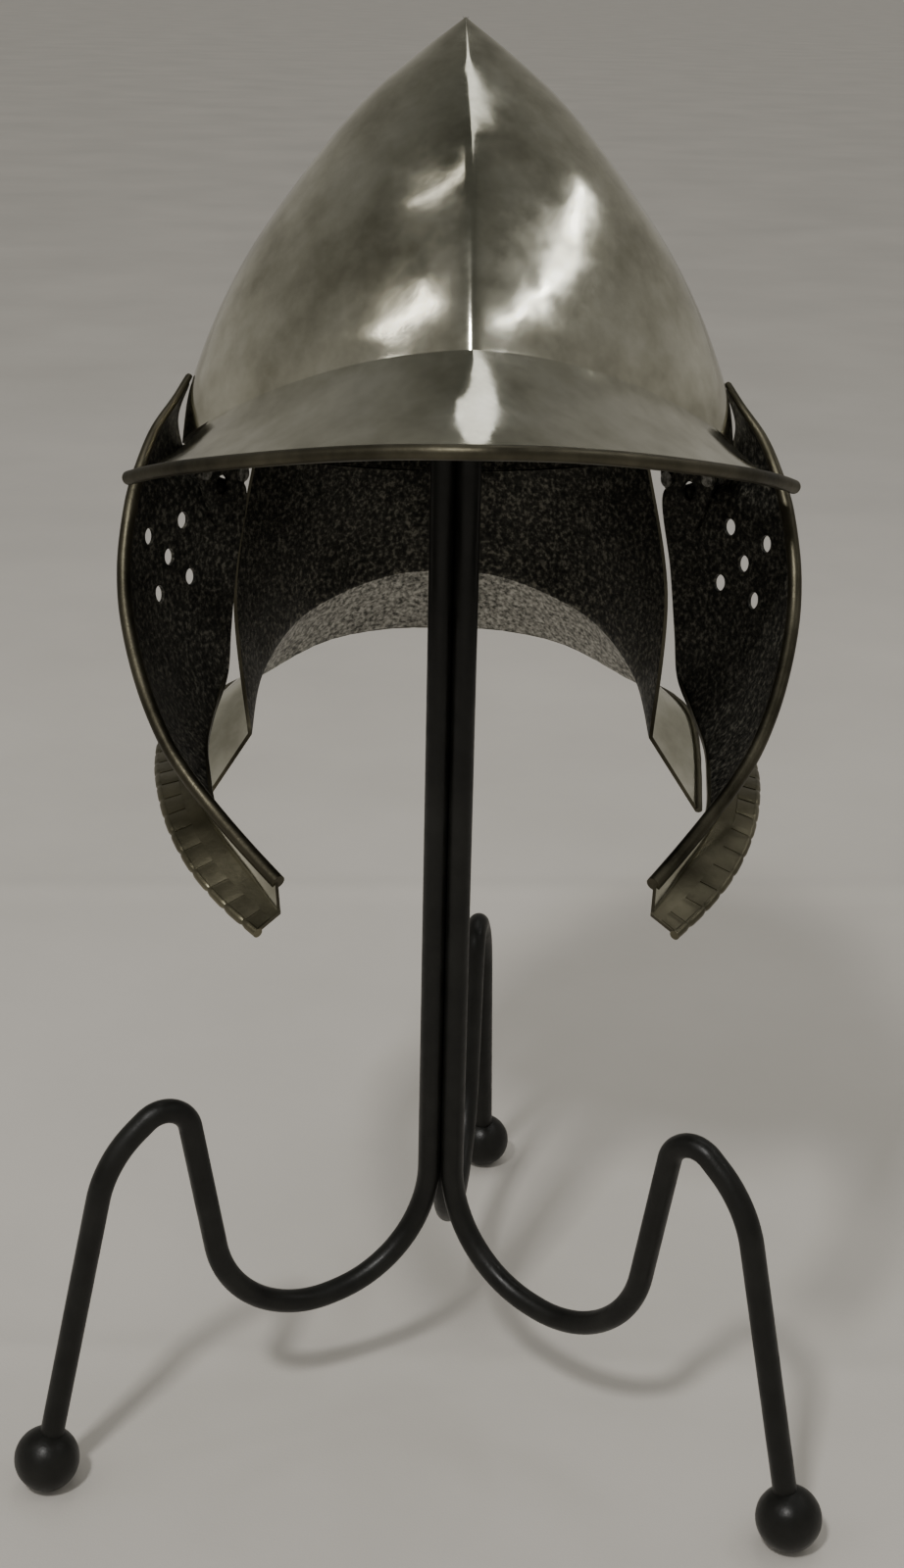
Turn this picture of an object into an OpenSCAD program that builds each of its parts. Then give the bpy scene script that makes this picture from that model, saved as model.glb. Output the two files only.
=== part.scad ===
// Open burgonet with a ridged bowl and hinged cheekpieces, resting on a three-legged rod stand.
// Millimetres. Z is up, the helmet faces -Y, the stand's axis is the Z axis, the ground is Z = 0.
// Every helmet curve is given in the helmet's own frame and only for its right side (+X):
// the origin lies at the middle of the head opening and the left side is the mirror image.

/* [Stand] */
// diameter of the three bent rods
rod_d = 9.5; // [8:0.5:10]
// diameter of each ball foot
ball_d = 26; // [20:1:32]
// distance of the ball feet from the stand's axis
foot_reach = 176.4; // [165:0.1:190]
// height of the inner corner of each leg's hump
hump_z = 167.6; // [150:0.1:175]
// height of the bend at the foot of the column
column_foot_z = 61; // [56:1:70]
// direction of the front left leg, in degrees
left_leg_az = 205.8; // [200:0.1:207]
// direction of the front right leg, in degrees
right_leg_az = 319.5; // [318:0.1:327]
// direction of the rear leg, in degrees
rear_leg_az = 80.9; // [75:0.1:92]

/* [Helmet pose] */
// height of the middle of the head opening
helmet_z = 415; // [400:1:450]
// how far the helmet leans back on the stand, in degrees
helmet_tilt = 14; // [12:0.5:14.5]

/* [Plates] */
// thickness of the bowl and the neck guard
bowl_t = 1.6; // [1.2:0.1:2]
// thickness of the cheekpieces
cheek_t = 1.4; // [1:0.1:1.8]
// diameter of the rolled edge of the peak
peak_roll_d = 5; // [4:0.5:6]
// diameter of the turned edge of the neck guard
neck_roll_d = 3.2; // [2.6:0.2:4]
// diameter of the rolled front edge of the cheekpieces
cheek_roll_d = 5; // [4:0.5:6]
// diameter of the breath holes
breath_hole_d = 6.2; // [4:0.2:8]
// distance of the four outer breath holes from the middle one
breath_ring_r = 15.2; // [12:0.1:17]

/* [Hinges] */
// diameter of the hinge pins
pin_d = 2.6; // [2:0.2:3]
// angle between each hinge axis and the helmet's middle plane, in degrees
hinge_splay = 35; // [32:1:38]

/* [Hidden] */

steel = [0.72, 0.71, 0.67];
dark = [0.16, 0.16, 0.15];
black = [0.06, 0.06, 0.06];

// ---- curves and surfaces ----

// Catmull-Rom curve through the points P, t runs from 0 to len(P) - 1
function curve(P, t) =
    let (n = len(P) - 1, i = min(floor(t), n - 1), f = t - i,
         a = P[max(i - 1, 0)], b = P[i], c = P[i + 1], d = P[min(i + 2, n)])
    b + 0.5 * f * ((c - a) + f * ((2 * a - 5 * b + 4 * c - d) + f * (3 * (b - c) + d - a)));
function unit(v) = v / norm(v);
// outward unit normal of a grid of points at row i, column j
function grid_normal(G, i, j) =
    let (m = len(G) - 1, n = len(G[0]) - 1)
    unit(cross(G[min(i + 1, m)][j] - G[max(i - 1, 0)][j], G[i][min(j + 1, n)] - G[i][max(j - 1, 0)]));
function flat(L) = [for (r = L) for (v = r) v];

// closed sheet of thickness t behind the grid G
module sheet(G, t) {
    m = len(G) - 1;
    n = len(G[0]) - 1;
    inner = [for (i = [0:m]) [for (j = [0:n]) G[i][j] - t * grid_normal(G, i, j)]];
    back = (m + 1) * (n + 1);
    function id(i, j) = i * (n + 1) + j;
    function quad(a, b, c, d) = [[a, b, c], [a, c, d]];
    polyhedron(points = concat(flat(G), flat(inner)), faces = flat(concat(
        [for (i = [0:m - 1], j = [0:n - 1]) quad(id(i, j), id(i, j + 1), id(i + 1, j + 1), id(i + 1, j))],
        [for (i = [0:m - 1], j = [0:n - 1]) quad(back + id(i, j), back + id(i + 1, j),
                                                 back + id(i + 1, j + 1), back + id(i, j + 1))],
        [for (j = [0:n - 1]) quad(id(0, j + 1), id(0, j), back + id(0, j), back + id(0, j + 1))],
        [for (j = [0:n - 1]) quad(id(m, j), id(m, j + 1), back + id(m, j + 1), back + id(m, j))],
        [for (i = [0:m - 1]) quad(id(i, 0), id(i + 1, 0), back + id(i + 1, 0), back + id(i, 0))],
        [for (i = [0:m - 1]) quad(id(i + 1, n), id(i, n), back + id(i, n), back + id(i + 1, n))])));
}

// round bead along the points P, with flat ends;
// R holds one radius for each point
module bead(P, R, up) {
    n = len(P) - 1;
    sides = 8;
    function ring(k) =
        let (tangent = unit(P[min(k + 1, n)] - P[max(k - 1, 0)]),
             side = unit(cross(tangent, up)), lift = cross(side, tangent))
        [for (s = [0:sides - 1]) P[k] + R[k] * (cos(s * 360 / sides) * side + sin(s * 360 / sides) * lift)];
    function id(k, s) = k * sides + s % sides;
    polyhedron(points = flat([for (k = [0:n]) ring(k)]), faces = concat(
        [[for (s = [sides - 1:-1:0]) id(0, s)]],
        flat([for (k = [0:n - 1], s = [0:sides - 1])
            [[id(k, s), id(k + 1, s + 1), id(k + 1, s)], [id(k, s), id(k, s + 1), id(k + 1, s + 1)]]]),
        [[for (s = [0:sides - 1]) id(n, s)]]));
}

module in_helmet() translate([0, 0, helmet_z]) rotate([-helmet_tilt, 0, 0]) children();
module both_sides() { children(); mirror([1, 0, 0]) children(); }

// ---- bowl ----

// heights and widths of the bowl from its lower edge up to the apex
bowl_side = [[101, -4, -6], [98.5, -5, 12], [89, -7, 38], [77, -10, 61],
             [61, -13, 84], [40, -17, 110], [20, -21, 128], [0, -25, 143]];
bowl_front = [[0, -113, 21], [0, -109, 34], [0, -101, 53], [0, -90, 74],
              [0, -76, 95], [0, -58, 116], [0, -41, 131], [0, -25, 143]];
bowl_rear = [[0, 111, -12], [0, 110, 8], [0, 103, 34], [0, 90, 59],
             [0, 70, 83], [0, 43, 107], [0, 9, 128], [0, -25, 143]];
ridge_sharpness = 2.3;
nape_sharpness = 2.05;
// point of the bowl's outer face: a is the angle round it, 0 at the front ridge, s the height step
function bowl_at(a, s) =
    let (front = cos(a) >= 0, t = abs(cos(a)), side = curve(bowl_side, s),
         ridge = curve(front ? bowl_front : bowl_rear, s),
         p = front ? ridge_sharpness : nape_sharpness)
    let (w = 1 - pow(t, p))
    [sign(sin(a)) * side[0] * w, side[1] + (ridge[1] - side[1]) * t,
     side[2] + (ridge[2] - side[2]) * (1 - w * w)];

bowl_cols = 72;
bowl_rows = 24;
module bowl_shell() {
    top = len(bowl_side) - 1;
    G = [for (i = [0:bowl_rows - 1])
        [for (j = [0:bowl_cols - 1]) bowl_at(j * 360 / bowl_cols, top * i / bowl_rows)]];
    function normal(i, j) =
        unit(cross(G[i][(j + 1) % bowl_cols] - G[i][(j + bowl_cols - 1) % bowl_cols],
                   G[min(i + 1, bowl_rows - 1)][j] - G[max(i - 1, 0)][j]));
    inner = [for (i = [0:bowl_rows - 1]) [for (j = [0:bowl_cols - 1]) G[i][j] - bowl_t * normal(i, j)]];
    apex = bowl_side[top];
    back = bowl_rows * bowl_cols;
    function id(i, j) = i * bowl_cols + j % bowl_cols;
    function quad(a, b, c, d) = [[a, b, c], [a, c, d]];
    polyhedron(points = concat(flat(G), flat(inner), [apex, apex - [0, 0, 1.6 * bowl_t]]), faces = concat(
        flat(concat(
            [for (i = [0:bowl_rows - 2], j = [0:bowl_cols - 1])
                quad(id(i, j), id(i + 1, j), id(i + 1, j + 1), id(i, j + 1))],
            [for (i = [0:bowl_rows - 2], j = [0:bowl_cols - 1])
                quad(back + id(i, j), back + id(i, j + 1), back + id(i + 1, j + 1), back + id(i + 1, j))],
            [for (j = [0:bowl_cols - 1])
                quad(id(0, j), id(0, j + 1), back + id(0, j + 1), back + id(0, j))])),
        [for (j = [0:bowl_cols - 1]) [id(bowl_rows - 1, j), 2 * back, id(bowl_rows - 1, j + 1)]],
        [for (j = [0:bowl_cols - 1])
            [back + id(bowl_rows - 1, j + 1), 2 * back + 1, back + id(bowl_rows - 1, j)]]));
}
module skull_bowl() color(steel) in_helmet() difference() {
    bowl_shell();
    both_sides() bowl_rivet_shanks();
}

// ---- peak ----

peak_edge_right = [[0, -156, -12], [24, -145, -11.5], [50, -128, -12.5], [72, -110, -14],
                   [91, -90, -15.5], [106, -71, -17], [115.5, -55, -19]];
peak_end = 66;
// angle of the peak's column k, from the left end to the right end
function peak_angle(k, n) = -peak_end + 2 * peak_end * k / n;
function peak_edge_at(k, n) =
    let (u = (2 * k / n - 1), p = curve(peak_edge_right, abs(u) * (len(peak_edge_right) - 1)))
    [sign(u) * p[0], p[1], p[2]];
peak_cols = 40;
peak_rows = 5;
peak_dip = 2.5;
function peak_grid() =
    [for (i = [0:peak_rows]) [for (k = [0:peak_cols])
        let (v = i / peak_rows, crease = bowl_at(peak_angle(k, peak_cols), 0),
             edge = peak_edge_at(k, peak_cols))
        crease + v * (edge - crease) - [0, 0, peak_dip * 4 * v * (1 - v)]]];
module peak() color(steel) in_helmet() {
    sheet(peak_grid(), bowl_t);
    bead([for (k = [0:peak_cols]) peak_edge_at(k, peak_cols) - [0, 0, bowl_t / 2]],
         [for (k = [0:peak_cols]) peak_roll_d / 2], [0, 0, 1]);
}

// ---- neck guard ----

neck_mid = [[0, 109, -34], [22, 107, -35], [46, 96, -41], [66, 76, -49], [79.5, 54, -57], [85.5, 41, -61]];
neck_crease = [[0, 115, -53], [22, 113, -55], [45, 102, -63], [64, 85, -75], [76, 55, -94], [79, 27, -116]];
neck_edge = [[0, 139, -78], [26, 137, -79], [52, 122, -84], [76, 99, -96], [98, 62, -110], [98, 28, -145]];
neck_top_angles = [180, 154, 140, 129, 122, 119];
neck_cols = 16;
// half row of the neck guard from its middle to its right side, then mirrored to the left
function mirrored(R) = concat([for (k = [len(R) - 1:-1:1]) R[k]], [for (p = R) [-p[0], p[1], p[2]]]);
function neck_row(v) =
    let (top = [for (a = neck_top_angles) bowl_at(a, 0)])
    mirrored(v <= 2 ? [for (k = [0:neck_cols]) curve([for (c = [top, neck_mid, neck_crease])
                            curve(c, 5 * k / neck_cols)], v)]
                    : [for (k = [0:neck_cols]) let (a = curve(neck_crease, 5 * k / neck_cols),
                            b = curve(neck_edge, 5 * k / neck_cols)) a + (v - 2) * (b - a)]);
module neck_guard() color(steel) in_helmet() {
    rows = [for (v = [0, 0.5, 1, 1.4, 1.75, 2, 2.5, 3]) neck_row(v)];
    sheet(rows, bowl_t);
    edge = neck_row(3);
    bead(edge, [for (p = edge) neck_roll_d / 2], [0, 0, 1]);
}

// ---- cheekpieces ----

cheek_front = [[97.95, -13, 18], [102.6, -20, 9], [109, -27, -2], [113, -34, -14], [116, -40, -27],
               [118, -46, -45], [117.5, -52, -60], [115, -59, -73], [111, -67, -86], [106, -75, -98],
               [99.5, -83, -110], [92, -90, -120], [82, -98, -131], [71.5, -108, -141], [61, -119, -150]];
cheek_rear = [[98.45, -8, 15], [103, -3, 2], [98.5, 3, -13.5], [88, 10, -18], [79, 15, -22],
              [82.5, 15, -50], [84.5, 13, -75], [85.5, 9, -92], [89, -12, -106], [89.5, -35, -115],
              [87, -58, -123], [83.5, -80, -131], [77, -98, -142], [68, -111, -152], [60, -121, -160]];
collar_edge = [[101, 14, -102], [107, -16, -113], [107, -38, -120], [104, -62, -127],
               [98.5, -84, -137], [90, -101, -148], [79, -115, -157.5], [67, -128, -165]];
cheek_bulge = 4;
cheek_rows = 42;
cheek_cols = 8;
// rows over which the rolled edge grows from the tip at the bowl to its full size
tip_rows = 12;
collar_roll_d = 3.4;
function cheek_at(u, v) =
    let (n = len(cheek_front) - 1, a = curve(cheek_front, u * n), b = curve(cheek_rear, u * n))
    a + v * (b - a) + cheek_bulge * 4 * v * (1 - v) * sin(180 * u) * [0.82, 0.57, 0];
breath_hole_centre = [105.1, -16.7, -47.3];
// turn of the holes' axis in plan, square to the plate, and turn of the four outer holes
breath_axis_turn = 29;
breath_turn = 61;
module cheek_shell() {
    sheet([for (i = [0:cheek_rows])
        [for (j = [0:cheek_cols]) cheek_at(i / cheek_rows, 1 - j / cheek_cols)]], cheek_t);
    collar_rows = 21;
    crease = [for (k = [7:14]) cheek_rear[k]];
    sheet([for (k = [0:collar_rows]) let (c = curve(crease, 7 * k / collar_rows),
            e = curve(collar_edge, 7 * k / collar_rows)) [for (v = [0, 0.5, 1]) e + v * (c - e)]], cheek_t);
    bead([for (i = [0:cheek_rows]) cheek_at(i / cheek_rows, 0)],
         [for (i = [0:cheek_rows]) cheek_roll_d * min(0.5, 0.22 + 0.28 * i / tip_rows)], [1, 0, 0]);
    bead([for (k = [0:collar_rows]) curve(collar_edge, 7 * k / collar_rows)],
         [for (k = [0:collar_rows]) collar_roll_d / 2], [0, 0, 1]);
}
module breath_holes() translate(breath_hole_centre) rotate([0, 0, breath_axis_turn]) rotate([0, 90, 0])
    for (k = [0:4]) rotate(90 * k + breath_turn) translate([k == 4 ? 0 : breath_ring_r, 0, 0])
        cylinder(h = 24, d = breath_hole_d, center = true, $fn = 24);
module cheekpiece() difference() {
    cheek_shell();
    breath_holes();
    cheek_rivet_shanks();
}

// ---- hinges, in a frame with X along the pin, Y towards the head and Z up ----

hinge_at = [85, 1, -10];
pin_l = 28;
knuckle_r = 2.6;
middle_knuckle_l = 10;
outer_knuckle_l = 7.4;
knuckle_gap = 0.3;
leaf_t = 1.2;
leaf_lean = 7;
leaf_hole_d = 7.2;
running_gap = 0.05;
rivet_d = 3;
rivet_head_d = 6;
rivet_head_h = 1.2;
module at_hinge() translate(hinge_at) rotate([0, 0, 90 + hinge_splay]) children();
// a frame on the cheek leaf's outer face: X along the pin, Z towards the head
module on_cheek_leaf() at_hinge() rotate([-leaf_lean, 0, 0]) translate([0, -knuckle_r, 0])
    rotate([-90, 0, 0]) children();
module along_pin(l, d) at_hinge() rotate([0, 90, 0]) cylinder(h = l, d = d, center = true, $fn = 32);
module pin_bore() along_pin(pin_l + 2, pin_d + 2 * running_gap);
module hinge_pin() along_pin(pin_l, pin_d);
module cheek_leaf() difference() {
    union() {
        on_cheek_leaf() linear_extrude(leaf_t)
            polygon([[-15, 0.5], [15, 0.5], [15, 7], [3, 25], [0, 27], [-3, 25], [-15, 7]]);
        for (s = [-1, 1]) at_hinge() rotate([0, 90, 0])
            translate([0, 0, s * (middle_knuckle_l / 2 + knuckle_gap + outer_knuckle_l / 2)])
                cylinder(h = outer_knuckle_l, r = knuckle_r, center = true, $fn = 32);
    }
    at_hinge() cube([middle_knuckle_l + 2 * knuckle_gap, 4 * knuckle_r, 2 * knuckle_r + 2 * knuckle_gap],
                    center = true);
    pin_bore();
    on_cheek_leaf() translate([0, 11, -1]) cylinder(h = 4, d = leaf_hole_d, $fn = 32);
    cheek_rivet_shanks();
}
cheek_rivet_l = 4.6;
cheek_rivet_places = [[-11, 6.5], [11, 6.5]];
module cheek_rivet_shanks() on_cheek_leaf() for (p = cheek_rivet_places)
    translate([p[0], p[1], leaf_t - cheek_rivet_l]) cylinder(h = cheek_rivet_l, d = rivet_d, $fn = 24);
module cheek_rivets() {
    cheek_rivet_shanks();
    on_cheek_leaf() for (p = cheek_rivet_places) {
        translate([p[0], p[1], leaf_t]) cylinder(h = rivet_head_h, d = rivet_head_d, $fn = 24);
        translate([p[0], p[1], leaf_t - cheek_rivet_l - rivet_head_h])
            cylinder(h = rivet_head_h, d = rivet_head_d, $fn = 24);
    }
}

// the upper leaf lies on the inside of the bowl and reaches down to its knuckle
bowl_leaf_gap = 0.25;
bowl_leaf_angles = [82.5, 97.5];
bowl_leaf_steps = [0.35, 1.15];
function bowl_leaf_at(a, s) =
    let (d = 1, n = unit(cross(bowl_at(a, s + d / 10) - bowl_at(a, s - d / 10),
                               bowl_at(a - d, s) - bowl_at(a + d, s))))
    bowl_at(a, s) - (bowl_t + bowl_leaf_gap) * n;
bowl_rivet_z = 9;
bowl_rivet_y = [-13, 5];
bowl_rivet_outer = 98.6;
bowl_rivet_l = 6;
module bowl_leaf() difference() {
    union() {
        sheet([for (i = [0:4]) [for (j = [0:6])
            bowl_leaf_at(bowl_leaf_angles[1] - (bowl_leaf_angles[1] - bowl_leaf_angles[0]) * j / 6,
                         bowl_leaf_steps[0] + (bowl_leaf_steps[1] - bowl_leaf_steps[0]) * i / 4)]], leaf_t);
        hull() {
            translate([96.8, -3.5, 2.5]) cube([1.6, 6, 2.5], center = true);
            at_hinge() translate([0, -1, knuckle_r - 0.8])
                cube([middle_knuckle_l - 4, 1.2, 1], center = true);
        }
        along_pin(middle_knuckle_l, 2 * knuckle_r);
    }
    pin_bore();
    bowl_rivet_shanks();
}
module bowl_rivet_shanks() for (y = bowl_rivet_y)
    translate([bowl_rivet_outer - bowl_rivet_l, y, bowl_rivet_z]) rotate([0, 90, 0])
        cylinder(h = bowl_rivet_l, d = rivet_d, $fn = 24);
module bowl_rivets() color(steel) in_helmet() both_sides() {
    bowl_rivet_shanks();
    for (y = bowl_rivet_y) translate([bowl_rivet_outer - bowl_rivet_l, y, bowl_rivet_z]) rotate([0, 90, 0])
        cylinder(h = rivet_head_h, d = rivet_head_d, $fn = 24);
}
module left_bowl_leaf() color(dark) in_helmet() mirror([1, 0, 0]) bowl_leaf();
module right_bowl_leaf() color(dark) in_helmet() bowl_leaf();
module left_cheekpiece() color(steel) in_helmet() mirror([1, 0, 0]) cheekpiece();
module right_cheekpiece() color(steel) in_helmet() cheekpiece();
module left_cheek_leaf() color(dark) in_helmet() mirror([1, 0, 0]) cheek_leaf();
module right_cheek_leaf() color(dark) in_helmet() cheek_leaf();
module left_hinge_pin() color(steel) in_helmet() mirror([1, 0, 0]) hinge_pin();
module right_hinge_pin() color(steel) in_helmet() hinge_pin();
module left_cheek_rivets() color(steel) in_helmet() mirror([1, 0, 0]) cheek_rivets();
module right_cheek_rivets() color(steel) in_helmet() cheek_rivets();

// ---- stand ----

// the rods stand just clear of each other, and the column ends under the bowl's apex
column_r = rod_d / 2 + 1;
column_top_z = helmet_z + 121;
rod_lap = 0.4;
bend_swell = 0.04;
// corners of a rod's centre line, outward and up, and the radius of each bend
leg_corners = [[column_r, column_top_z - rod_lap], [column_r, column_foot_z], [94.9, 47.7], [115.1, hump_z],
               [147, 141.6], [foot_reach, ball_d / 2]];
leg_bends = [50, 45, 11.2, 48.5];
function turn(a, b, c) =
    let (u = unit(b - a), v = unit(c - b)) atan2(u[0] * v[1] - u[1] * v[0], u * v);
// a bend of radius r at corner b, as [start, centre, end, turn]
function bend(a, b, c, r) =
    let (u = unit(b - a), v = unit(c - b), w = turn(a, b, c), cut = r * tan(abs(w) / 2), s = sign(w))
    [b - cut * u, b - cut * u + s * r * [-u[1], u[0]], b + cut * v, w];
bends = [for (k = [0:3]) bend(leg_corners[k], leg_corners[k + 1], leg_corners[k + 2], leg_bends[k])];
// a straight length of rod, whose ends run a little way into the bends
module rod_between(a, b) {
    d = b - a;
    translate([a[0], 0, a[1]]) rotate([0, atan2(d[0], d[1]), 0]) translate([0, 0, -rod_lap])
        cylinder(h = norm(d) + 2 * rod_lap, d = rod_d, $fn = 48);
}
module rod_bend(q, r) {
    start = q[0] - q[1];
    first = atan2(start[1], start[0]);
    translate([q[1][0], 0, q[1][1]]) rotate([90, 0, 0]) rotate([0, 0, q[3] > 0 ? first : first + q[3]])
        rotate_extrude(angle = abs(q[3]), $fn = 96) translate([r, 0])
            circle(d = rod_d + bend_swell, $fn = 48);
}
module leg(az) rotate(az) {
    rod_between(leg_corners[0], bends[0][0]);
    for (k = [0:3]) {
        rod_bend(bends[k], leg_bends[k]);
        rod_between(bends[k][2], k < 3 ? bends[k + 1][0] : leg_corners[5]);
    }
}
module foot(az) rotate(az) translate([foot_reach, 0, ball_d / 2]) sphere(d = ball_d, $fn = 48);
module leg_front_left() color(black) difference() { leg(left_leg_az); foot(left_leg_az); }
module leg_front_right() color(black) difference() { leg(right_leg_az); foot(right_leg_az); }
module leg_rear() color(black) difference() { leg(rear_leg_az); foot(rear_leg_az); }
module ball_front_left() color(black) foot(left_leg_az);
module ball_front_right() color(black) foot(right_leg_az);
module ball_rear() color(black) foot(rear_leg_az);
// plug welds in the narrow channel between the three rods
weld_l = 12;
weld_foot_z = 130;
module column_welds() color(black) for (z = [weld_foot_z, column_top_z - weld_l])
    translate([0, 0, z]) cylinder(h = weld_l, r = column_r - rod_d / 2, $fn = 24);
rest_r = 15;
module top_rest() color(black) translate([0, 0, column_top_z]) intersection() {
    sphere(r = rest_r, $fn = 48);
    translate([0, 0, rest_r]) cube(2 * rest_r, center = true);
}

skull_bowl();
peak();
neck_guard();
bowl_rivets();
left_bowl_leaf();
right_bowl_leaf();
left_cheekpiece();
left_cheek_leaf();
left_hinge_pin();
left_cheek_rivets();
right_cheekpiece();
right_cheek_leaf();
right_hinge_pin();
right_cheek_rivets();
leg_front_left();
leg_front_right();
leg_rear();
ball_front_left();
ball_front_right();
ball_rear();
column_welds();
top_rest();
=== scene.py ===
"""Looks for the open burgonet on its rod stand: plates, rods, materials, cloth, lights and camera."""

import math

import bmesh
import bpy
import numpy as np
from mathutils import Matrix, Vector


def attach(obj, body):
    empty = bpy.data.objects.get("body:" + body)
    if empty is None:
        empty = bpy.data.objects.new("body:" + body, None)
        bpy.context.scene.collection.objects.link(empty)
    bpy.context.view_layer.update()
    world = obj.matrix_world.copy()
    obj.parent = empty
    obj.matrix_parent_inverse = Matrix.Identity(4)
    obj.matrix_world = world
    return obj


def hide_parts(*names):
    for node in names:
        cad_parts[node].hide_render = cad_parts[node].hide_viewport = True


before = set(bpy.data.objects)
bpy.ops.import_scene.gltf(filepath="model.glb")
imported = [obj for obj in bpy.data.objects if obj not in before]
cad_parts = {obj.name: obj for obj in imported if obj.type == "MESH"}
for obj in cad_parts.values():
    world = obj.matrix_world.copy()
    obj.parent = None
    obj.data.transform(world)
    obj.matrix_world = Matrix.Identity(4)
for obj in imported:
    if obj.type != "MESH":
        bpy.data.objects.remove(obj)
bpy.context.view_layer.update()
MM = 0.001

# ---------------------------------------------------------------- camera
CAMERA_AT = (-0.03188, -0.79382, 0.57838)
CAMERA_TURN = math.radians(2.3)
CAMERA_AIM = 0.0011
CAMERA_PITCH = 0.365
CAMERA_ROLL = 0.0228
LENS_MM = 49.5
SENSOR_MM = 36.0


def make_camera():
    cos_p, sin_p = math.cos(CAMERA_PITCH), math.sin(CAMERA_PITCH)
    ahead = Vector((math.sin(CAMERA_AIM) * cos_p, math.cos(CAMERA_AIM) * cos_p, -sin_p))
    right = ahead.cross(Vector((0, 0, 1))).normalized()
    up = right.cross(ahead)
    cos_r, sin_r = math.cos(CAMERA_ROLL), math.sin(CAMERA_ROLL)
    right, up = cos_r * right + sin_r * up, -sin_r * right + cos_r * up
    turn = Matrix.Rotation(-CAMERA_TURN, 3, "Z")
    axes = turn @ Matrix((right, up, -ahead)).transposed()
    data = bpy.data.cameras.new("camera")
    data.sensor_fit = "VERTICAL"
    data.sensor_height = SENSOR_MM
    data.lens = LENS_MM
    data.clip_end = 200
    cam = bpy.data.objects.new("camera", data)
    cam.matrix_world = Matrix.Translation(CAMERA_AT) @ axes.to_4x4()
    bpy.context.scene.collection.objects.link(cam)
    bpy.context.scene.camera = cam


make_camera()

# ---------------------------------------------------------------- curves, as in the CAD (helmet frame, mm)
HELMET_Z = 415.0
TILT = math.radians(14)


def curve(points, t):
    """Catmull-Rom curve through points, t from 0 to their count minus one."""
    P = np.asarray(points, float)
    n = len(P) - 1
    t = np.atleast_1d(np.asarray(t, float))
    i = np.minimum(np.floor(t), n - 1).astype(int)
    f = (t - i)[:, None]
    a, b, c, d = P[np.maximum(i - 1, 0)], P[i], P[i + 1], P[np.minimum(i + 2, n)]
    return b + 0.5 * f * ((c - a) + f * ((2 * a - 5 * b + 4 * c - d) + f * (3 * (b - c) + d - a)))


def to_world(p):
    p = np.asarray(p, float)
    c, s = math.cos(TILT), math.sin(TILT)
    x, y, z = p[..., 0], p[..., 1], p[..., 2]
    return np.stack([x, y * c + z * s, HELMET_Z - y * s + z * c], -1) * MM


BOWL_SIDE = [[101, -4, -6], [98.5, -5, 12], [89, -7, 38], [77, -10, 61],
             [61, -13, 84], [40, -17, 110], [20, -21, 128], [0, -25, 143]]
BOWL_FRONT = [[0, -113, 21], [0, -109, 34], [0, -101, 53], [0, -90, 74],
              [0, -76, 95], [0, -58, 116], [0, -41, 131], [0, -25, 143]]
BOWL_REAR = [[0, 111, -12], [0, 110, 8], [0, 103, 34], [0, 90, 59],
             [0, 70, 83], [0, 43, 107], [0, 9, 128], [0, -25, 143]]
PEAK_EDGE = [[0, -156, -12], [24, -145, -11.5], [50, -128, -12.5], [72, -110, -14],
             [91, -90, -15.5], [106, -71, -17], [115.5, -55, -19]]
NECK_TOP_ANGLES = [180, 154, 140, 129, 122, 119]
NECK_MID = [[0, 109, -34], [22, 107, -35], [46, 96, -41], [66, 76, -49], [79.5, 54, -57], [85.5, 41, -61]]
NECK_CREASE = [[0, 115, -53], [22, 113, -55], [45, 102, -63], [64, 85, -75], [76, 55, -94], [79, 27, -116]]
NECK_EDGE = [[0, 139, -78], [26, 137, -79], [52, 122, -84], [76, 99, -96], [98, 62, -110], [98, 28, -145]]
CHEEK_FRONT = [[97.95, -13, 18], [102.6, -20, 9], [109, -27, -2], [113, -34, -14], [116, -40, -27],
               [118, -46, -45], [117.5, -52, -60], [115, -59, -73], [111, -67, -86], [106, -75, -98],
               [99.5, -83, -110], [92, -90, -120], [82, -98, -131], [71.5, -108, -141], [61, -119, -150]]
CHEEK_REAR = [[98.45, -8, 15], [103, -3, 2], [98.5, 3, -13.5], [88, 10, -18], [79, 15, -22],
              [82.5, 15, -50], [84.5, 13, -75], [85.5, 9, -92], [89, -12, -106], [89.5, -35, -115],
              [87, -58, -123], [83.5, -80, -131], [77, -98, -142], [68, -111, -152], [60, -121, -160]]
COLLAR_EDGE = [[101, 14, -102], [107, -16, -113], [107, -38, -120], [104, -62, -127],
               [98.5, -84, -137], [90, -101, -148], [79, -115, -157.5], [67, -128, -165]]
BOWL_T, CHEEK_T = 1.6, 1.4


def bowl_at(a, s):
    """Point of the bowl's outer face: a in degrees round it, s the height step."""
    a, s = np.broadcast_arrays(np.asarray(a, float), np.asarray(s, float))
    shape, a, s = a.shape, np.radians(a.ravel()), s.ravel()
    side, front, rear = curve(BOWL_SIDE, s), curve(BOWL_FRONT, s), curve(BOWL_REAR, s)
    ahead = np.cos(a) >= 0
    t = np.abs(np.cos(a))
    ridge = np.where(ahead[:, None], front, rear)
    w = 1 - t ** np.where(ahead, 2.3, 2.05)
    out = np.stack([np.sign(np.sin(a)) * side[:, 0] * w,
                    side[:, 1] + (ridge[:, 1] - side[:, 1]) * t,
                    side[:, 2] + (ridge[:, 2] - side[:, 2]) * (1 - w * w)], -1)
    return out.reshape(shape + (3,))


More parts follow.
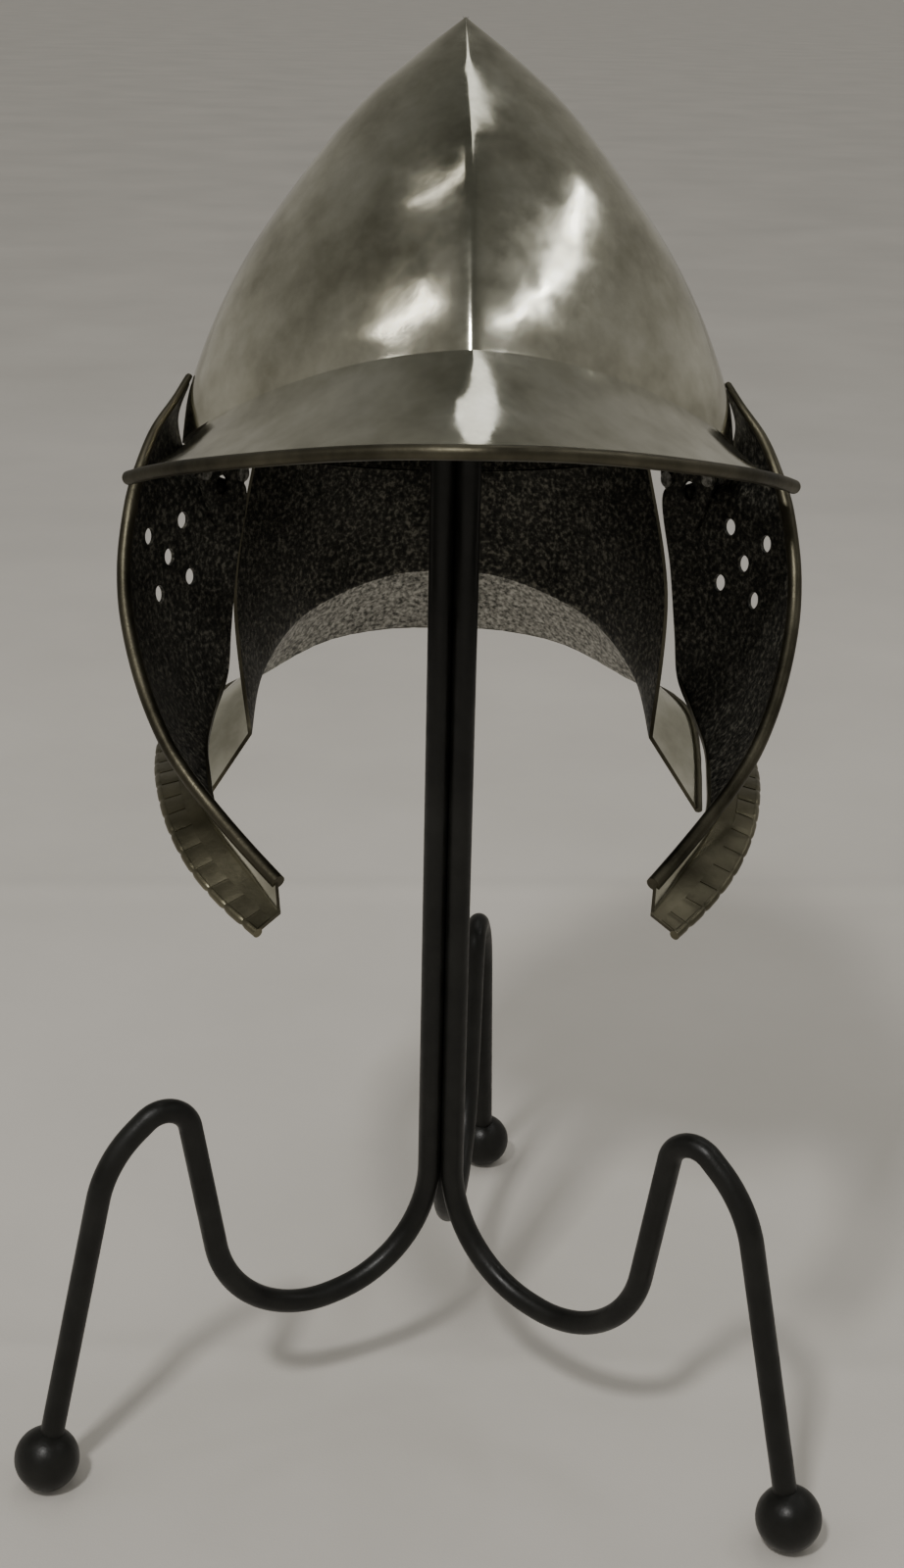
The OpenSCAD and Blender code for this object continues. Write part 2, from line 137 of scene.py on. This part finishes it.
def round_ridge(G, x, radius, beside=8, reach=9.0):
    """Rounds a grid's crease at x = 0: each row's points sink a little towards the plate's inside.

    The slope is read beside columns from the crease, and the rounding dies away over reach millimetres.
    """
    middle = int(np.argmin(np.abs(x[0])))
    beside = middle + beside
    slope = (G[:, beside] - G[:, middle])[:, None] / np.abs(x[:, beside] - x[:, middle])[:, None, None]
    slope = slope * np.array([0, 1, 1])
    sink = np.sqrt(x ** 2 + radius[:, None] ** 2) - np.abs(x)
    sink = sink * np.exp(-(x / reach) ** 2)
    return G + sink[..., None] * slope


# ---------------------------------------------------------------- mesh building
def normals(G, wrap):
    if wrap:
        dj = np.roll(G, -1, 1) - np.roll(G, 1, 1)
    else:
        dj = np.concatenate([G[:, 1:2] - G[:, :1], G[:, 2:] - G[:, :-2], G[:, -1:] - G[:, -2:-1]], 1)
    di = np.concatenate([G[1:2] - G[:1], G[2:] - G[:-2], G[-1:] - G[-2:-1]], 0)
    n = np.cross(di, dj)
    return n / np.maximum(np.linalg.norm(n, axis=-1, keepdims=True), 1e-9)


# each material's place in HELMET_MATERIALS
OUTSIDE, INSIDE, INSIDE_FLARE_PAINTED_LIGHT, EDGE, ON_COLLAR = range(5)


class Shape:
    """Collects vertices and faces, each face with a material number."""

    def __init__(self):
        self.v, self.f, self.m = [], [], []

    def add(self, verts, faces, mats):
        base = len(self.v)
        self.v += [tuple(p) for p in verts]
        self.f += [tuple(base + i for i in q) for q in faces]
        self.m += mats

    def sheet(self, G, t, outside=OUTSIDE, inside=INSIDE, rim=EDGE, wrap=False, sign=1, inside_rows=None):
        """A plate of thickness t behind the grid G; inside_rows(i) may choose another inner material."""
        G = np.asarray(G, float)
        m, n = G.shape[0], G.shape[1]
        back = G - sign * t * normals(G, wrap)
        cells = n if wrap else n - 1
        ident = lambda i, j: i * n + j % n
        off = m * n
        faces, mats = [], []
        for i in range(m - 1):
            for j in range(cells):
                faces.append((ident(i, j), ident(i, j + 1), ident(i + 1, j + 1), ident(i + 1, j)))
                mats.append(outside)
                behind = (ident(i, j), ident(i + 1, j), ident(i + 1, j + 1), ident(i, j + 1))
                faces.append(tuple(off + k for k in behind))
                mats.append(inside_rows(i) if inside_rows else inside)
        for j in range(cells):
            for i in (0, m - 1):
                faces.append((ident(i, j), ident(i, j + 1), off + ident(i, j + 1), off + ident(i, j)))
                mats.append(rim)
        if not wrap:
            for i in range(m - 1):
                for j in (0, n - 1):
                    faces.append((ident(i, j), ident(i + 1, j), off + ident(i + 1, j), off + ident(i, j)))
                    mats.append(rim)
        self.add(np.concatenate([G.reshape(-1, 3), back.reshape(-1, 3)]), faces, mats)

    def tube(self, P, R, up, mat=0, sides=20):
        """A round bead along P, with one radius for each point and flat ends."""
        P, R = np.asarray(P, float), np.broadcast_to(np.asarray(R, float), (len(P),))
        tan = np.concatenate([P[1:2] - P[:1], P[2:] - P[:-2], P[-1:] - P[-2:-1]])
        tan /= np.linalg.norm(tan, axis=1, keepdims=True)
        side = np.cross(tan, np.asarray(up, float))
        side /= np.linalg.norm(side, axis=1, keepdims=True)
        lift = np.cross(side, tan)
        a = np.arange(sides) * 2 * math.pi / sides
        across, along = np.cos(a)[None, :, None], np.sin(a)[None, :, None]
        rings = P[:, None] + R[:, None, None] * (across * side[:, None] + along * lift[:, None])
        n = len(P)
        ident = lambda k, s: k * sides + s % sides
        faces = [(ident(k, s), ident(k, s + 1), ident(k + 1, s + 1), ident(k + 1, s))
                 for k in range(n - 1) for s in range(sides)]
        faces += [tuple(range(sides)), tuple((n - 1) * sides + s for s in range(sides))]
        self.add(rings.reshape(-1, 3), faces, [mat] * len(faces))

    def build(self, name, world=to_world, cutters=None, sharp_deg=32):
        me = bpy.data.meshes.new(name)
        me.from_pydata([tuple(p) for p in world(np.array(self.v))], [], self.f)
        me.polygons.foreach_set("material_index", self.m)
        bm = bmesh.new()
        bm.from_mesh(me)
        bmesh.ops.recalc_face_normals(bm, faces=bm.faces)
        bm.to_mesh(me)
        bm.free()
        ob = bpy.data.objects.new(name, me)
        bpy.context.scene.collection.objects.link(ob)
        if cutters is not None:
            mod = ob.modifiers.new("holes", "BOOLEAN")
            mod.operation, mod.solver, mod.object = "DIFFERENCE", "EXACT", cutters
            bpy.context.view_layer.update()
            seen = ob.evaluated_get(bpy.context.evaluated_depsgraph_get())
            cut = bpy.data.meshes.new_from_object(seen)
            ob.modifiers.clear()
            ob.data = cut
            bpy.data.meshes.remove(me)
            cut.name = name
        ob.data.shade_smooth()
        ob.data.set_sharp_from_angle(angle=math.radians(sharp_deg))
        return ob


# ---------------------------------------------------------------- materials
class Nodes:
    """A short way to write a material's nodes."""

    def __init__(self, name):
        self.mat = bpy.data.materials.new(name)
        self.mat.use_nodes = True
        self.tree = self.mat.node_tree
        self.shader = self.tree.nodes["Principled BSDF"]
        self.coord = self.tree.nodes.new("ShaderNodeTexCoord").outputs["Object"]

    def link(self, a, b):
        self.tree.links.new(a, b)

    def noise(self, scale, detail=3.0, rough=0.5, squash=None):
        n = self.tree.nodes.new("ShaderNodeTexNoise")
        n.inputs["Scale"].default_value = scale
        n.inputs["Detail"].default_value = detail
        n.inputs["Roughness"].default_value = rough
        source = self.coord
        if squash:
            m = self.tree.nodes.new("ShaderNodeMapping")
            m.inputs["Scale"].default_value = squash
            self.link(source, m.inputs["Vector"])
            source = m.outputs["Vector"]
        self.link(source, n.inputs["Vector"])
        return n.outputs["Fac"]

    def spread(self, value, low, high, to_low, to_high):
        n = self.tree.nodes.new("ShaderNodeMapRange")
        for k, x in zip(("From Min", "From Max", "To Min", "To Max"), (low, high, to_low, to_high)):
            n.inputs[k].default_value = x
        self.link(value, n.inputs["Value"])
        return n.outputs["Result"]

    def ramp(self, value, stops):
        n = self.tree.nodes.new("ShaderNodeValToRGB")
        e = n.color_ramp.elements
        while len(e) < len(stops):
            e.new(0.5)
        for x, (place, colour) in zip(e, stops):
            x.position, x.color = place, (*colour, 1)
        self.link(value, n.inputs["Fac"])
        return n.outputs["Color"]

    def bump(self, *layers):
        """Layers of (height, strength, distance in metres), one on the other."""
        last = None
        for height, strength, distance in layers:
            n = self.tree.nodes.new("ShaderNodeBump")
            n.inputs["Strength"].default_value = strength
            n.inputs["Distance"].default_value = distance
            self.link(height, n.inputs["Height"])
            if last:
                self.link(last, n.inputs["Normal"])
            last = n.outputs["Normal"]
        self.link(last, self.shader.inputs["Normal"])


def metal(name, stops, rough, wave, grain, grain_scale, metallic=1.0, colour_scale=26):
    """Sheet metal: colour patches, roughness patches, hammered waves and fine scratches or grain."""
    n = Nodes(name)
    n.shader.inputs["Metallic"].default_value = metallic
    n.link(n.ramp(n.noise(colour_scale, 5, 0.6), stops), n.shader.inputs["Base Color"])
    n.link(n.spread(n.noise(48, 4, 0.6), 0.3, 0.7, *rough), n.shader.inputs["Roughness"])
    n.bump((n.noise(38, 2, 0.4), wave, 0.0016), (n.noise(grain_scale, 3, 0.6), grain, 0.0004),
           (n.noise(300, 2, 0.5, (1, 1, 14)), grain * 0.25, 0.0002))
    return n.mat


STEEL = metal("polished_steel",
              [(0.32, (0.34, 0.33, 0.26)), (0.5, (0.54, 0.53, 0.44)), (0.68, (0.72, 0.71, 0.62))],
              rough=(0.07, 0.20), wave=0.26, grain=0.035, grain_scale=420)
# worn steel for the rivets and hinge pins; the same lighter steel on the neck guard's inner flare is painted
# light, for that band catching light from below
WORN_AND_PAINTED_LIGHT = metal("worn_steel_and_painted_light",
             [(0.36, (0.07, 0.07, 0.063)), (0.5, (0.27, 0.265, 0.24)), (0.66, (0.52, 0.51, 0.47))],
             rough=(0.40, 0.60), wave=0.3, grain=0.8, grain_scale=420, colour_scale=520)
COLLAR = metal("collar_steel",
               [(0.3, (0.055, 0.050, 0.033)), (0.7, (0.21, 0.195, 0.135))],
               rough=(0.30, 0.48), wave=0.35, grain=0.25, grain_scale=420)
SCALE = metal("hammer_scale",
              [(0.38, (0.008, 0.008, 0.007)), (0.52, (0.036, 0.035, 0.029)), (0.66, (0.16, 0.153, 0.125))],
              rough=(0.38, 0.60), wave=0.4, grain=1.0, grain_scale=400, metallic=0.75, colour_scale=520)
# the rolled edges, beads and plate rims get a dark olive steel: painted shade, standing in for the
# turned-over lips lying in shadow
EDGE_PAINTED_SHADE = metal("edge_painted_shade",
              [(0.3, (0.026, 0.024, 0.016)), (0.7, (0.12, 0.11, 0.078))],
              rough=(0.38, 0.56), wave=0.25, grain=0.3, grain_scale=450)


def paint():
    n = Nodes("black_paint")
    n.shader.inputs["Specular IOR Level"].default_value = 0.28
    n.link(n.ramp(n.noise(60, 5, 0.6), [(0.3, (0.0035, 0.0035, 0.003)), (0.7, (0.010, 0.010, 0.0085))]),
           n.shader.inputs["Base Color"])
    n.link(n.spread(n.noise(90, 4, 0.6), 0.3, 0.7, 0.30, 0.52), n.shader.inputs["Roughness"])
    n.bump((n.noise(160, 4, 0.6), 0.30, 0.0006), (n.noise(900, 2, 0.5), 0.25, 0.0002))
    return n.mat


PAINT = paint()
HELMET_MATERIALS = [STEEL, SCALE, WORN_AND_PAINTED_LIGHT, EDGE_PAINTED_SHADE, COLLAR]


def place(ob, body, node, slot, mats):
    for m in mats:
        ob.data.materials.append(m)
    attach(ob, body)
    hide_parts(node)


# ---------------------------------------------------------------- helmet plates
RIDGE_RADIUS = 1.5
# the ridge's rounding shrinks over the FADE_LENGTH height steps below FADE_TOP, to nearly nothing there
FADE_TOP, FADE_LENGTH = 6.6, 2.5
# the last height step, just short of the apex
APEX_STEP = 6.985


def bowl():
    cols, rows = 288, 110
    a = np.arange(cols) * 360 / cols
    s = (len(BOWL_SIDE) - 1) * (np.arange(rows) / rows)
    s = np.append(s, APEX_STEP)
    G = bowl_at(a[None, :], s[:, None])
    front = np.abs((a + 180) % 360 - 180) < 60
    order = np.argsort((a[front] + 180) % 360)
    picked = np.flatnonzero(front)[order]
    radius = RIDGE_RADIUS * np.clip((FADE_TOP - s) / FADE_LENGTH, 0.05, 1)
    G[:, picked] = round_ridge(G[:, picked], G[:, picked, 0], radius)
    shape = Shape()
    shape.sheet(G, BOWL_T, wrap=True, sign=-1)
    n = G.shape[0] * cols
    last = G.shape[0] - 1
    top = [last * cols + j for j in range(cols)]
    shape.f += [tuple(top), tuple(n + k for k in top)]
    shape.m += [OUTSIDE, INSIDE]

    def closes_apex(face):
        return len(face) == 4 and {face[0] // cols, face[1] // cols} == {last} and face[2] >= n

    # the last row's rim faces are inside the closed apex, so they go
    keep = [k for k, face in enumerate(shape.f) if not closes_apex(face)]
    shape.f, shape.m = [shape.f[k] for k in keep], [shape.m[k] for k in keep]
    place(shape.build("bowl_plate", sharp_deg=20), "helmet", "skull_bowl", "polished_steel", HELMET_MATERIALS)


PEAK_END = 66  # the peak's ends, in degrees round the bowl
PEAK_ROOT = 0.12  # the share of the peak's depth over which the bowl's crease smooths out
PEAK_SAG = 2.5
PEAK_BEAD_R = 2.5


def smoothed(points, passes=90):
    """Points averaged with their neighbours again and again, the two end points left alone."""
    out = points.copy()
    for _ in range(passes):
        out[1:-1] = 0.25 * out[:-2] + 0.5 * out[1:-1] + 0.25 * out[2:]
    return out


def peak():
    cols, rows = 160, 20
    k = np.linspace(-1, 1, cols + 1)
    half = curve(PEAK_EDGE, np.abs(k) * (len(PEAK_EDGE) - 1))
    edge = half * np.stack([np.sign(k), np.ones_like(k), np.ones_like(k)], -1)
    crease = bowl_at(PEAK_END * k, 0)
    v = np.linspace(0, 1, rows + 1)[:, None, None]
    # the peak is forged smooth across its middle, where only the bowl above it is creased
    edge = smoothed(edge)
    crease = crease + np.clip(v / PEAK_ROOT, 0, 1) * (smoothed(crease) - crease)
    G = crease + v * (edge - crease) - np.array([0, 0, PEAK_SAG]) * 4 * v * (1 - v)
    shape = Shape()
    shape.sheet(G, BOWL_T)
    shape.tube(edge - [0, 0, BOWL_T / 2], PEAK_BEAD_R, (0, 0, 1), mat=EDGE)
    place(shape.build("peak_plate", sharp_deg=60), "helmet", "peak", "polished_steel", HELMET_MATERIALS)


def mirrored(half):
    return np.concatenate([half[:0:-1], half * [-1, 1, 1]])


def neck():
    cols = 64
    top = bowl_at(np.array(NECK_TOP_ANGLES, float), 0)
    t = (len(NECK_MID) - 1) * np.arange(cols + 1) / cols
    levels = [curve(c, t) for c in (top, NECK_MID, NECK_CREASE)]
    edge = curve(NECK_EDGE, t)

    def row(v):
        if v <= 2:
            half = np.stack([curve([level[k] for level in levels], v)[0] for k in range(cols + 1)])
        else:
            half = levels[2] + (v - 2) * (edge - levels[2])
        return mirrored(half)

    steps = np.concatenate([np.linspace(0, 2, 25), np.linspace(2.1, 3, 10)])
    # below the crease the flare's inner face takes the lighter steel: painted light, for the band lit from
    # below
    inner = lambda i: INSIDE_FLARE_PAINTED_LIGHT if steps[i] >= 2 else INSIDE
    shape = Shape()
    shape.sheet([row(v) for v in steps], BOWL_T, inside_rows=inner)
    shape.tube(row(3), roped(row(3), 1.6, 0.10), (0, 0, 1), mat=EDGE)
    place(shape.build("neck_plate"), "helmet", "neck_guard", "polished_steel", HELMET_MATERIALS)


def roped(P, radius, depth, pitch=10.0):
    """Radius along P with a narrow groove every pitch millimetres."""
    P = np.asarray(P, float)
    s = np.concatenate([[0], np.cumsum(np.linalg.norm(np.diff(P, axis=0), axis=1))])
    off = np.abs((s / pitch) % 1 - 0.5) * 2
    return radius * (1 - depth * np.exp(-(((1 - off) / 0.2) ** 2)))


def hole_cutters():
    """Five short rods, one for each breath hole, in the CAD's places."""
    centre, ring, radius, splay = np.array([105.1, -16.7, -47.3]), 15.2, 3.1, math.radians(29)
    bm = bmesh.new()
    turn = Matrix.Rotation(splay, 3, "Z") @ Matrix.Rotation(math.pi / 2, 3, "Y")
    for k in range(5):
        a = math.radians(90 * k + 61)
        r = 0 if k == 4 else ring
        at = turn @ Vector((r * math.cos(a), r * math.sin(a), 0)) + Vector(centre)
        made = bmesh.ops.create_cone(bm, segments=40, radius1=radius, radius2=radius, depth=24, cap_ends=True)
        bmesh.ops.transform(bm, matrix=Matrix.Translation(at) @ turn.to_4x4(), verts=made["verts"])
    P = to_world(np.array([v.co[:] for v in bm.verts]))
    for v, p in zip(bm.verts, P):
        v.co = p
    for f in bm.faces:
        f.material_index = INSIDE
    me = bpy.data.meshes.new("breath_cutter")
    bm.to_mesh(me)
    bm.free()
    ob = bpy.data.objects.new("breath_cutter", me)
    bpy.context.scene.collection.objects.link(ob)
    return ob


def hem(shape, rim, crease, pitch=10.0, width=6.5, gap=0.9, t=0.45):
    """The collar's edge is turned over in short tabs, with a cut between each two."""
    s = np.concatenate([[0], np.cumsum(np.linalg.norm(np.diff(rim, axis=0), axis=1))])
    along = np.gradient(rim, axis=0)
    across = (crease - rim) / np.linalg.norm(crease - rim, axis=1, keepdims=True)
    face = np.cross(along, across)
    face /= np.linalg.norm(face, axis=1, keepdims=True)
    # the collar plate lies behind the side that the cross product points to
    seen = np.sign(np.mean(face @ np.array([0, -0.9, 0.4])))
    face *= seen
    proud = t if seen > 0 else CHEEK_T + t
    at = lambda values, q: np.stack([np.interp(q, s, values[:, c]) for c in range(3)], -1)
    for start in np.arange(1.5, s[-1] - pitch / 2, pitch):
        q = np.linspace(start, min(start + pitch - gap, s[-1] - 0.5), 7)
        P, A, F = at(rim, q), at(across, q), at(face, q)
        # the tab is proud in its middle and dips to the plate at its cut ends
        lift = proud - 0.25 * np.abs(np.linspace(-1, 1, 7)) ** 3
        grid = [P + A * w + F * lift[:, None] for w in np.linspace(0.4, width, 4)]
        shape.sheet(grid, t, outside=ON_COLLAR, inside=ON_COLLAR)


CHEEK_BULGE = 4
BULGE_WAY = np.array([0.82, 0.57, 0])
COLLAR_START = 7  # the point of CHEEK_REAR where the collar begins


def cheek(side):
    rows, cols = 168, 36
    u, v = np.linspace(0, 1, rows + 1), np.linspace(0, 1, cols + 1)
    steps = u * (len(CHEEK_FRONT) - 1)
    a, b = curve(CHEEK_FRONT, steps), curve(CHEEK_REAR, steps)
    bulge = (CHEEK_BULGE * 4 * v * (1 - v))[None, :] * np.sin(math.pi * u)[:, None]
    G = a[:, None] + v[None, :, None] * (b - a)[:, None] + bulge[..., None] * BULGE_WAY
    plate = Shape()
    # this grid lies on the inner face, and the plate grows outwards from it
    plate.sheet(G[:, ::-1], CHEEK_T, outside=INSIDE, inside=OUTSIDE, rim=EDGE)
    n = 140
    t = np.linspace(0, len(COLLAR_EDGE) - 1, n + 1)
    crease, rim = curve(CHEEK_REAR[COLLAR_START:], t), curve(COLLAR_EDGE, t)
    w = np.linspace(0, 1, 9)[None, :, None]
    trim = Shape()
    trim.sheet(rim[:, None] + w * (crease - rim)[:, None], CHEEK_T, outside=ON_COLLAR, inside=ON_COLLAR)
    hem(trim, rim, crease)
    # the rolled edge's radius grows from 1.1 mm at the top to 2.5 mm over the first 48 rows
    i = np.arange(rows + 1) / 4
    trim.tube(G[:, 0], 5 * np.minimum(0.5, 0.22 + 0.28 * i / 12), (1, 0, 0), mat=EDGE)
    trim.tube(rim, roped(rim, 1.7, 0.30), (0, 0, 1), mat=ON_COLLAR)
    mirror = np.array([1 if side == "right" else -1, 1, 1])
    world = lambda p: to_world(p) * mirror
    cutter = hole_cutters()
    if side == "left":
        cutter.data.transform(Matrix.Scale(-1, 4, (1, 0, 0)))
        cutter.data.flip_normals()
    plate = plate.build(side + "_cheek_plate", world, cutter)
    bpy.data.objects.remove(cutter)
    body = side + "_cheek"
    place(plate, body, side + "_cheekpiece", "polished_steel", HELMET_MATERIALS)
    trim = trim.build(side + "_cheek_rolls", world)
    place(trim, body, side + "_cheekpiece", "polished_steel", HELMET_MATERIALS)


bowl()
peak()
neck()
cheek("left")
cheek("right")

# ---------------------------------------------------------------- stand
ROD_R, BALL_R, COLUMN_R, COLUMN_TOP = 4.75, 13.0, 5.75, 536.0
FOOT_REACH = 176.4
LEG = [[COLUMN_R, COLUMN_TOP], [COLUMN_R, 61], [94.9, 47.7], [115.1, 167.6], [147, 141.6], [FOOT_REACH, 13]]
BENDS = [50, 45, 11.2, 48.5]
LEG_TURNS = {"front_left": 205.8, "front_right": 319.5, "rear": 80.9}


def leg_path():
    P = [np.array(p, float) for p in LEG]
    out = [P[0]]
    for k in range(4):
        a, b, c = P[k:k + 3]
        u, v = (b - a) / np.linalg.norm(b - a), (c - b) / np.linalg.norm(c - b)
        w = math.atan2(u[0] * v[1] - u[1] * v[0], u @ v)
        cut, s = BENDS[k] * math.tan(abs(w) / 2), math.copysign(1, w)
        start = b - cut * u
        mid = start + s * BENDS[k] * np.array([-u[1], u[0]])
        for f in np.linspace(0, 1, 25):
            c2, s2 = math.cos(f * w), math.sin(f * w)
            d = start - mid
            out.append(mid + np.array([c2 * d[0] - s2 * d[1], s2 * d[0] + c2 * d[1]]))
    # the last length stops just inside the ball
    last = P[5] + (P[4] - P[5]) / np.linalg.norm(P[4] - P[5]) * (BALL_R - 1)
    out.append(last)
    return np.array(out)


def flat_world(p):
    return np.asarray(p, float) * MM


def ball(centre, name):
    rows, cols = 40, 64
    shape = Shape()
    verts, faces = [], []
    for i in range(1, rows):
        for j in range(cols):
            th, ph = math.pi * i / rows, 2 * math.pi * j / cols
            out = [math.sin(th) * math.cos(ph), math.sin(th) * math.sin(ph), math.cos(th)]
            verts.append(centre + BALL_R * np.array(out))
    verts += [centre + [0, 0, BALL_R], centre - [0, 0, BALL_R]]
    for i in range(rows - 2):
        for j in range(cols):
            k = (j + 1) % cols
            faces.append((i * cols + j, (i + 1) * cols + j, (i + 1) * cols + k, i * cols + k))
    north = (rows - 1) * cols
    for j in range(cols):
        faces.append((north, j, (j + 1) % cols))
        faces.append((north + 1, (rows - 2) * cols + (j + 1) % cols, (rows - 2) * cols + j))
    shape.add(verts, faces, [0] * len(faces))
    return shape.build(name, flat_world)


def stand():
    path = leg_path()
    for name, az in LEG_TURNS.items():
        c, s = math.cos(math.radians(az)), math.sin(math.radians(az))
        P = np.stack([path[:, 0] * c, path[:, 0] * s, path[:, 1]], -1)
        shape = Shape()
        shape.tube(P, ROD_R, (-s, c, 0), sides=32)
        place(shape.build("rod_" + name, flat_world), "stand", "leg_" + name, "black_paint", [PAINT])
        foot = np.array([FOOT_REACH * c, FOOT_REACH * s, BALL_R])
        place(ball(foot, "foot_" + name), "stand", "ball_" + name, "black_paint", [PAINT])


stand()

# the CAD pieces that show as they are, and their materials
KEPT = ((WORN_AND_PAINTED_LIGHT, ("bowl_rivets", "left_cheek_rivets", "right_cheek_rivets",
                "left_hinge_pin", "right_hinge_pin")),
        (SCALE, ("left_bowl_leaf", "right_bowl_leaf", "left_cheek_leaf", "right_cheek_leaf")),
        (PAINT, ("column_welds", "top_rest")))
for material, names in KEPT:
    for name in names:
        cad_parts[name].data.materials.clear()
        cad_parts[name].data.materials.append(material)


# ---------------------------------------------------------------- cloth, lights
# each pressed crease of the cloth, in metres: where it crosses x = 0, its slant, height and half width
CLOTH_FOLDS = ((0.005, -0.05, 0.0018, 0.012), (0.52, 0.01, 0.0030, 0.016), (3.90, 0.30, 0.006, 0.14))
CLOTH_REACH = 90.0


def cloth():
    n = Nodes("pale_cloth")
    n.shader.inputs["Sheen Weight"].default_value = 0.2
    n.shader.inputs["Roughness"].default_value = 0.92
    n.link(n.ramp(n.noise(3.0, 4, 0.55), [(0.3, (0.43, 0.41, 0.375)), (0.7, (0.50, 0.475, 0.435))]),
           n.shader.inputs["Base Color"])
    n.bump((n.noise(7, 4, 0.6), 0.25, 0.01), (n.noise(900, 2, 0.5), 0.2, 0.0004))
    # one wide flat floor, with finer rows where a crease crosses it
    xs = np.concatenate([[-CLOTH_REACH, -8], np.linspace(-4, 4, 81), [8, CLOTH_REACH]])
    ys = np.concatenate([[-CLOTH_REACH, -8], np.linspace(-4, 7, 111), [10, CLOTH_REACH]])
    finer = [at + width * np.linspace(-5, 5, 61) for at, _, _, width in CLOTH_FOLDS]
    ys = np.unique(np.concatenate([ys] + finer))
    verts = []
    for y in ys:
        for x in xs:
            near = min(max(x, -4), 4)
            lift = sum(height * math.exp(-((y - at) / width) ** 2) for at, _, height, width in CLOTH_FOLDS)
            shift = sum(slant * near * math.exp(-((y - at) / (5 * width)) ** 2)
                        for at, slant, _, width in CLOTH_FOLDS)
            verts.append((x, y + shift, lift))
    w = len(xs)
    faces = [(i * w + j, i * w + j + 1, (i + 1) * w + j + 1, (i + 1) * w + j)
             for i in range(len(ys) - 1) for j in range(w - 1)]
    me = bpy.data.meshes.new("cloth")
    me.from_pydata(verts, [], faces)
    me.shade_smooth()
    me.materials.append(n.mat)
    ob = bpy.data.objects.new("cloth", me)
    bpy.context.scene.collection.objects.link(ob)


def area(name, at, to, size, power, colour):
    data = bpy.data.lights.new(name, "AREA")
    data.shape, data.size, data.size_y = "RECTANGLE", size[0], size[1]
    data.energy, data.color = power, colour
    ob = bpy.data.objects.new(name, data)
    ob.location = at
    ob.rotation_euler = (Vector(to) - Vector(at)).to_track_quat("-Z", "Y").to_euler()
    bpy.context.scene.collection.objects.link(ob)


cloth()
WARM, NEUTRAL = (1.0, 0.95, 0.87), (1.0, 0.985, 0.96)
area("key", (-0.55, -1.25, 1.9), (0, 0, 0.3), (0.20, 0.20), 26, NEUTRAL)
area("strip_right", (1.09, 0.06, 1.37), (0, 0, 0.45), (1.15, 0.022), 2.2, NEUTRAL)
area("strip_left", (-0.72, 0.04, 1.72), (0, 0, 0.45), (0.07, 0.40), 0.22, WARM)
area("edge_left", (-0.95, -0.35, 1.25), (0, 0, 0.45), (0.05, 0.30), 0.5, WARM)
area("top", (0.25, 0.75, 2.1), (0, 0.5, 0.2), (1.2, 0.8), 5, NEUTRAL)
# an even, very soft light that keeps the whole floor pale
fill = bpy.data.lights.new("fill", "SUN")
fill.energy, fill.angle, fill.color = 1.15, math.radians(120), NEUTRAL
fill_at = bpy.data.objects.new("fill", fill)
fill_at.visible_glossy = False
fill_at.rotation_euler = (math.radians(12), math.radians(-8), 0)
bpy.context.scene.collection.objects.link(fill_at)

# the surroundings' tone from below to above: place on the ramp and colour
SKY_TONES = ((0.15, (0.84, 0.80, 0.72, 1)), (0.90, (0.24, 0.24, 0.21, 1)))
world = bpy.data.worlds.new("studio")
world.use_nodes = True
tree = world.node_tree
sky = tree.nodes.new("ShaderNodeTexCoord")
split = tree.nodes.new("ShaderNodeSeparateXYZ")
shade = tree.nodes.new("ShaderNodeValToRGB")
tree.links.new(sky.outputs["Generated"], split.inputs["Vector"])
tree.links.new(split.outputs["Z"], shade.inputs["Fac"])
tree.links.new(shade.outputs["Color"], tree.nodes["Background"].inputs["Color"])
for stop, (place_at, tone) in zip(shade.color_ramp.elements, SKY_TONES):
    stop.position, stop.color = place_at, tone
tree.nodes["Background"].inputs["Strength"].default_value = 0.40
bpy.context.scene.world = world
